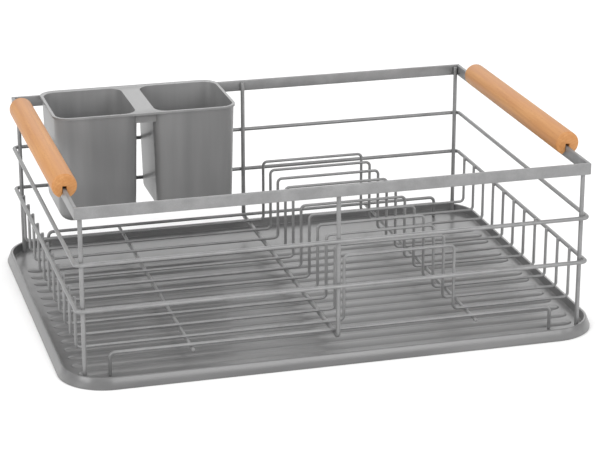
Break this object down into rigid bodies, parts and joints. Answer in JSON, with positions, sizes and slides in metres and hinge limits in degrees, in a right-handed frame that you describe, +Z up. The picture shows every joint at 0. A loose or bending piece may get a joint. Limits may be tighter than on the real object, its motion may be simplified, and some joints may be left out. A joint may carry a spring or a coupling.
{
  "type": "dish drying rack",
  "caption": "Grey wire dish drying rack with wooden handles, a hanging twin cutlery holder and a ribbed drip tray.",
  "frame": {"origin": "middle of the drip tray's underside, on the surface the rack stands on", "axes": "+X along the rack's length, +Y to the back where the cutlery holder hangs, +Z up"},
  "size_m": [0.468, 0.359, 0.1665],
  "materials": {
    "coated_steel": "satin grey powder coat",
    "wood": "smooth oiled beech",
    "tray_plastic": "satin moulded plastic",
    "cup_plastic": "satin moulded plastic"
  },
  "bodies": {
    "tray": {"drip_tray": "tray_plastic"},
    "basket": {"rim_bar_front": "coated_steel", "rim_bar_rear": "coated_steel", "rim_bar_left": "coated_steel", "rim_bar_right": "coated_steel", "corner_post_front_left": "coated_steel", "corner_post_front_right": "coated_steel", "corner_post_rear_left": "coated_steel", "corner_post_rear_right": "coated_steel", "upper_loop": "coated_steel", "lower_loop": "coated_steel", "middle_u_wire": "coated_steel", "cross_wire_left": "coated_steel", "cross_wire_right": "coated_steel", "foot_wire_front": "coated_steel", "foot_wire_rear": "coated_steel", "plate_wire_01": "coated_steel", "plate_wire_02": "coated_steel", "plate_wire_03": "coated_steel", "plate_wire_04": "coated_steel", "plate_wire_05": "coated_steel", "plate_wire_06": "coated_steel", "plate_wire_07": "coated_steel", "plate_wire_08": "coated_steel", "plate_wire_09": "coated_steel", "plate_wire_10": "coated_steel", "plate_wire_11": "coated_steel", "handle_left": "wood", "handle_right": "wood"},
    "holder": {"cutlery_holder": "cup_plastic"}
  },
  "joints": [
    {"name": "basket_lift", "type": "slide", "parent": "tray", "child": "basket", "axis": [0, 0, 1], "range_m": [0, 0.08]},
    {"name": "holder_lift", "type": "slide", "parent": "basket", "child": "holder", "axis": [0, 0, 1], "range_m": [0, 0.12]}
  ]
}
